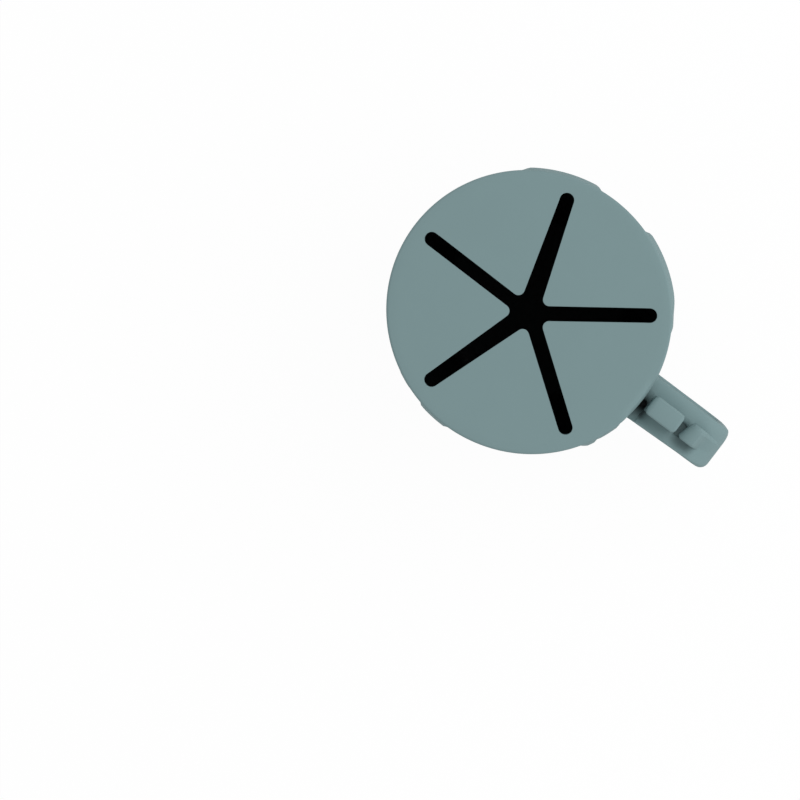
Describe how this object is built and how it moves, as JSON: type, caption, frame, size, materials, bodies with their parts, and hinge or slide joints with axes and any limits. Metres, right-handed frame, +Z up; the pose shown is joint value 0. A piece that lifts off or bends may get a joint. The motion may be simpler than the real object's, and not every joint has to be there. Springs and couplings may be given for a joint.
{
  "type": "toddler snack container",
  "caption": "Soft moulded snack cup with one side handle and a press-on lid whose star opening has hinged flaps a small hand can push through.",
  "frame": {"origin": "centre of the cup's foot, on its axis, at the surface that it stands on", "axes": "+Z up along the cup's axis, +X out along the handle"},
  "size_m": [0.1193, 0.0919, 0.082],
  "materials": {
    "cup_silicone": "matte moulded silicone, grey teal",
    "lid_silicone": "matte moulded silicone, grey teal"
  },
  "bodies": {
    "cup": {"cup": "cup_silicone", "handle": "cup_silicone"},
    "lid": {"lid": "lid_silicone"},
    "flap_1": {"flap_1": "lid_silicone"},
    "flap_2": {"flap_2": "lid_silicone"},
    "flap_3": {"flap_3": "lid_silicone"},
    "flap_4": {"flap_4": "lid_silicone"},
    "flap_5": {"flap_5": "lid_silicone"}
  },
  "joints": [
    {"name": "lid_lift", "type": "slide", "parent": "cup", "child": "lid", "axis": [0, 0, 1], "range_m": [0, 0.045]},
    {"name": "flap_1_bend", "type": "hinge", "parent": "lid", "child": "flap_1", "pos_m": [0.03074, 0, 0.081], "axis": [0, -1, 0], "range_deg": [-30, 60], "stiffness_Nm_per_rad": 0.008},
    {"name": "flap_2_bend", "type": "hinge", "parent": "lid", "child": "flap_2", "pos_m": [0.0095, 0.02924, 0.081], "axis": [0.9511, -0.309, 0], "range_deg": [-30, 60], "stiffness_Nm_per_rad": 0.008},
    {"name": "flap_3_bend", "type": "hinge", "parent": "lid", "child": "flap_3", "pos_m": [-0.02487, 0.01807, 0.081], "axis": [0.5878, 0.809, 0], "range_deg": [-30, 60], "stiffness_Nm_per_rad": 0.008},
    {"name": "flap_4_bend", "type": "hinge", "parent": "lid", "child": "flap_4", "pos_m": [-0.02487, -0.01807, 0.081], "axis": [-0.5878, 0.809, 0], "range_deg": [-30, 60], "stiffness_Nm_per_rad": 0.008},
    {"name": "flap_5_bend", "type": "hinge", "parent": "lid", "child": "flap_5", "pos_m": [0.0095, -0.02924, 0.081], "axis": [-0.9511, -0.309, 0], "range_deg": [-30, 60], "stiffness_Nm_per_rad": 0.008}
  ]
}
